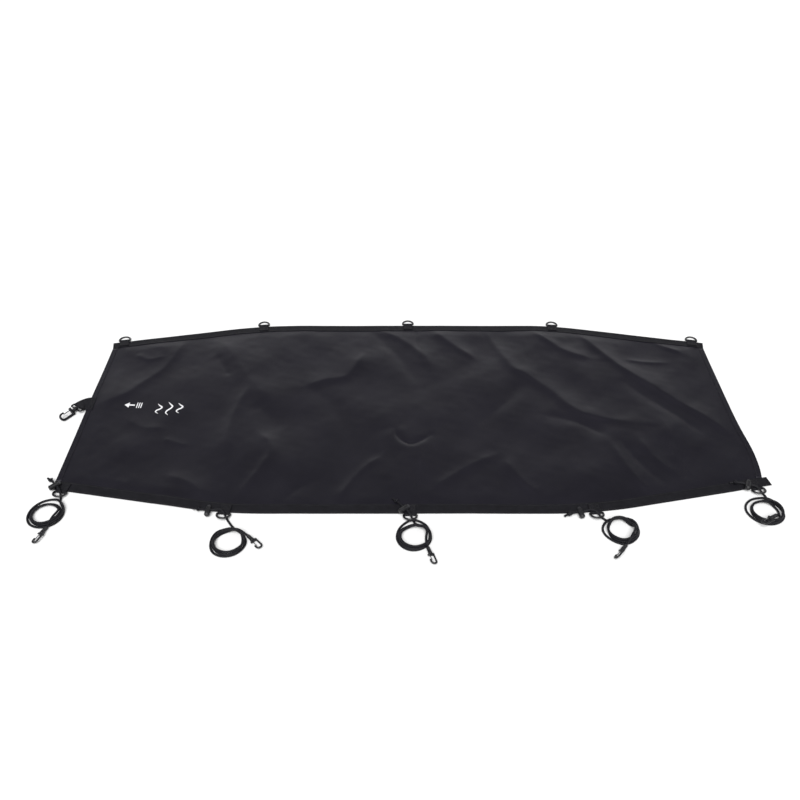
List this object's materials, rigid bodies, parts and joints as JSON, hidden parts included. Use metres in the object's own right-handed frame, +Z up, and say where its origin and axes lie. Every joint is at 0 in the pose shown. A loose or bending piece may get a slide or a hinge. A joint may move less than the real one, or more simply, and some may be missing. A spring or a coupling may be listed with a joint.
{
  "type": "kayak spray skirt",
  "caption": "Flat coated-fabric kayak cockpit cover with webbing edges, D-rings, bungee cords with cord locks and gated hooks along one side, and a swivel snap hook at the bow.",
  "frame": {"origin": "middle of the underside of the fabric panel, on the surface it lies on", "axes": "+X from bow to stern, +Y from the cord side to the far side, +Z up out of the panel"},
  "size_m": [1.6711, 0.858, 0.0183],
  "materials": {
    "coated_fabric": "matt polyurethane-coated nylon",
    "webbing": "woven polyester webbing",
    "elastic_cord": "braided sleeve over rubber strands",
    "ring_wire": "moulded acetal",
    "black_plastic": "fine texture",
    "grey_plastic": "fine texture",
    "gate_wire": "drawn stainless wire",
    "spring_steel": "zinc plated",
    "snap_metal": "nickel-plated die casting"
  },
  "bodies": {
    "cover": {"deck_panel": "coated_fabric", "far_edge_band": "webbing", "near_edge_band": "webbing", "bow_hem": "coated_fabric", "stern_hem": "coated_fabric", "far_ring_loops": "webbing", "near_ring_loops": "webbing", "bow_tab": "webbing", "stopper_knots": "elastic_cord", "cord_lead_1": "elastic_cord", "cord_coil_1": "elastic_cord", "hook_body_1": "black_plastic", "cord_lead_2": "elastic_cord", "cord_coil_2": "elastic_cord", "hook_body_2": "black_plastic", "cord_lead_3": "elastic_cord", "cord_coil_3": "elastic_cord", "hook_body_3": "black_plastic", "cord_lead_4": "elastic_cord", "cord_coil_4": "elastic_cord", "hook_body_4": "black_plastic", "cord_lead_5": "elastic_cord", "cord_coil_5": "elastic_cord", "hook_body_5": "black_plastic"},
    "far_ring_1": {"far_ring_1": "ring_wire"},
    "near_ring_1": {"near_ring_1": "ring_wire"},
    "far_ring_2": {"far_ring_2": "ring_wire"},
    "near_ring_2": {"near_ring_2": "ring_wire"},
    "far_ring_3": {"far_ring_3": "ring_wire"},
    "near_ring_3": {"near_ring_3": "ring_wire"},
    "far_ring_4": {"far_ring_4": "ring_wire"},
    "near_ring_4": {"near_ring_4": "ring_wire"},
    "far_ring_5": {"far_ring_5": "ring_wire"},
    "near_ring_5": {"near_ring_5": "ring_wire"},
    "toggle_1": {"toggle_body_1": "black_plastic", "toggle_spring_1": "spring_steel"},
    "toggle_button_1": {"toggle_button_1": "grey_plastic"},
    "toggle_2": {"toggle_body_2": "black_plastic", "toggle_spring_2": "spring_steel"},
    "toggle_button_2": {"toggle_button_2": "grey_plastic"},
    "toggle_3": {"toggle_body_3": "black_plastic", "toggle_spring_3": "spring_steel"},
    "toggle_button_3": {"toggle_button_3": "grey_plastic"},
    "toggle_4": {"toggle_body_4": "black_plastic", "toggle_spring_4": "spring_steel"},
    "toggle_button_4": {"toggle_button_4": "grey_plastic"},
    "toggle_5": {"toggle_body_5": "black_plastic", "toggle_spring_5": "spring_steel"},
    "toggle_button_5": {"toggle_button_5": "grey_plastic"},
    "hook_gate_1": {"hook_gate_1": "gate_wire"},
    "hook_gate_2": {"hook_gate_2": "gate_wire"},
    "hook_gate_3": {"hook_gate_3": "gate_wire"},
    "hook_gate_4": {"hook_gate_4": "gate_wire"},
    "hook_gate_5": {"hook_gate_5": "gate_wire"},
    "snap_eye": {"snap_eye": "snap_metal"},
    "snap_hook": {"snap_hook": "snap_metal", "snap_gate_pin": "snap_metal"},
    "snap_gate": {"snap_gate": "snap_metal"}
  },
  "joints": [
    {"name": "far_ring_1_swing", "type": "hinge", "parent": "cover", "child": "far_ring_1", "pos_m": [-0.7779, 0.27509, 0.00335], "axis": [0.98, 0.1992, 0], "range_deg": [-80, 150]},
    {"name": "near_ring_1_swing", "type": "hinge", "parent": "cover", "child": "near_ring_1", "pos_m": [-0.77779, -0.28452, 0.00335], "axis": [-0.9845, 0.1753, 0], "range_deg": [0, 55]},
    {"name": "far_ring_2_swing", "type": "hinge", "parent": "cover", "child": "far_ring_2", "pos_m": [-0.40445, 0.3459, 0.00335], "axis": [0.9949, 0.1006, 0], "range_deg": [-80, 150]},
    {"name": "near_ring_2_swing", "type": "hinge", "parent": "cover", "child": "near_ring_2", "pos_m": [-0.4044, -0.34707, 0.00335], "axis": [-0.9961, 0.0883, 0], "range_deg": [0, 55]},
    {"name": "far_ring_3_swing", "type": "hinge", "parent": "cover", "child": "far_ring_3", "pos_m": [0, 0.351, 0.00335], "axis": [1, 0, 0], "range_deg": [-80, 150]},
    {"name": "near_ring_3_swing", "type": "hinge", "parent": "cover", "child": "near_ring_3", "pos_m": [0, -0.351, 0.00335], "axis": [-1, 0, 0], "range_deg": [0, 55]},
    {"name": "far_ring_4_swing", "type": "hinge", "parent": "cover", "child": "far_ring_4", "pos_m": [0.40445, 0.3459, 0.00335], "axis": [0.9949, -0.1006, 0], "range_deg": [-80, 150]},
    {"name": "near_ring_4_swing", "type": "hinge", "parent": "cover", "child": "near_ring_4", "pos_m": [0.40445, -0.3459, 0.00335], "axis": [-0.9949, -0.1006, 0], "range_deg": [0, 55]},
    {"name": "far_ring_5_swing", "type": "hinge", "parent": "cover", "child": "far_ring_5", "pos_m": [0.7779, 0.27509, 0.00335], "axis": [0.98, -0.1992, 0], "range_deg": [-80, 150]},
    {"name": "near_ring_5_swing", "type": "hinge", "parent": "cover", "child": "near_ring_5", "pos_m": [0.7779, -0.27509, 0.00335], "axis": [-0.98, -0.1992, 0], "range_deg": [0, 55]},
    {"name": "toggle_1_slide", "type": "slide", "parent": "cover", "child": "toggle_1", "axis": [-0.6892, 0.7212, -0.0699], "range_m": [-0.0003, 0.002]},
    {"name": "toggle_button_1_press", "type": "slide", "parent": "toggle_1", "child": "toggle_button_1", "axis": [0.723, 0.6909, 0], "range_m": [-0.0035, 0], "stiffness_N_per_m": 900, "springref_m": 0.004, "deforming": ["toggle_spring_1"]},
    {"name": "toggle_2_slide", "type": "slide", "parent": "cover", "child": "toggle_2", "axis": [-0.9985, 0.0536, -0.013], "range_m": [-0.001, 0.004]},
    {"name": "toggle_button_2_press", "type": "slide", "parent": "toggle_2", "child": "toggle_button_2", "axis": [0.0536, 0.9986, 0], "range_m": [-0.0035, 0], "stiffness_N_per_m": 900, "springref_m": 0.004, "deforming": ["toggle_spring_2"]},
    {"name": "toggle_3_slide", "type": "slide", "parent": "cover", "child": "toggle_3", "axis": [-0.6232, 0.779, -0.0686], "range_m": [-0.001, 0.005]},
    {"name": "toggle_button_3_press", "type": "slide", "parent": "toggle_3", "child": "toggle_button_3", "axis": [0.7809, 0.6247, 0], "range_m": [-0.0035, 0], "stiffness_N_per_m": 900, "springref_m": 0.004, "deforming": ["toggle_spring_3"]},
    {"name": "toggle_4_slide", "type": "slide", "parent": "cover", "child": "toggle_4", "axis": [-0.9898, -0.1419, -0.0125], "range_m": [-0.001, 0.004]},
    {"name": "toggle_button_4_press", "type": "slide", "parent": "toggle_4", "child": "toggle_button_4", "axis": [-0.1419, 0.9899, 0], "range_m": [-0.0035, 0], "stiffness_N_per_m": 900, "springref_m": 0.004, "deforming": ["toggle_spring_4"]},
    {"name": "toggle_5_slide", "type": "slide", "parent": "cover", "child": "toggle_5", "axis": [-0.9286, 0.3651, -0.0664], "range_m": [-0.0003, 0.002]},
    {"name": "toggle_button_5_press", "type": "slide", "parent": "toggle_5", "child": "toggle_button_5", "axis": [0.3659, 0.9306, 0], "range_m": [-0.0035, 0], "stiffness_N_per_m": 900, "springref_m": 0.004, "deforming": ["toggle_spring_5"]},
    {"name": "hook_gate_1_open", "type": "hinge", "parent": "cover", "child": "hook_gate_1", "pos_m": [-0.7856, -0.40538, 0.00384], "axis": [-0.2922, 0.1006, 0.9511], "range_deg": [0, 22], "stiffness_Nm_per_rad": 0.01, "springref_deg": -28.65},
    {"name": "hook_gate_2_open", "type": "hinge", "parent": "cover", "child": "hook_gate_2", "pos_m": [-0.33197, -0.42641, 0.0047], "axis": [0, 0, 1], "range_deg": [0, 22], "stiffness_Nm_per_rad": 0.01, "springref_deg": -28.65},
    {"name": "hook_gate_3_open", "type": "hinge", "parent": "cover", "child": "hook_gate_3", "pos_m": [0.03922, -0.46135, 0.00605], "axis": [0.3253, 0.1057, 0.9397], "range_deg": [0, 22], "stiffness_Nm_per_rad": 0.01, "springref_deg": -28.65},
    {"name": "hook_gate_4_open", "type": "hinge", "parent": "cover", "child": "hook_gate_4", "pos_m": [0.43589, -0.45096, 0.00466], "axis": [-0.5825, 0.4975, 0.6428], "range_deg": [0, 22], "stiffness_Nm_per_rad": 0.01, "springref_deg": -28.65},
    {"name": "hook_gate_5_open", "type": "hinge", "parent": "cover", "child": "hook_gate_5", "pos_m": [0.76977, -0.36834, 0.0137], "axis": [0, 0, 1], "range_deg": [0, 22], "stiffness_Nm_per_rad": 0.01, "springref_deg": -28.65},
    {"name": "snap_eye_tilt", "type": "hinge", "parent": "cover", "child": "snap_eye", "pos_m": [-0.82, -0.003, 0.0084], "axis": [-0.8192, 0.5736, 0], "range_deg": [-20, 100]},
    {"name": "snap_swivel", "type": "hinge", "parent": "snap_eye", "child": "snap_hook", "pos_m": [-0.82574, -0.01119, 0.0084], "axis": [-0.5736, -0.8192, 0], "continuous": true},
    {"name": "snap_gate_open", "type": "hinge", "parent": "snap_hook", "child": "snap_gate", "pos_m": [-0.83534, -0.0185, 0.01149], "axis": [0.5265, -0.3687, 0.766], "range_deg": [0, 25], "stiffness_Nm_per_rad": 0.02, "springref_deg": -28.65}
  ]
}
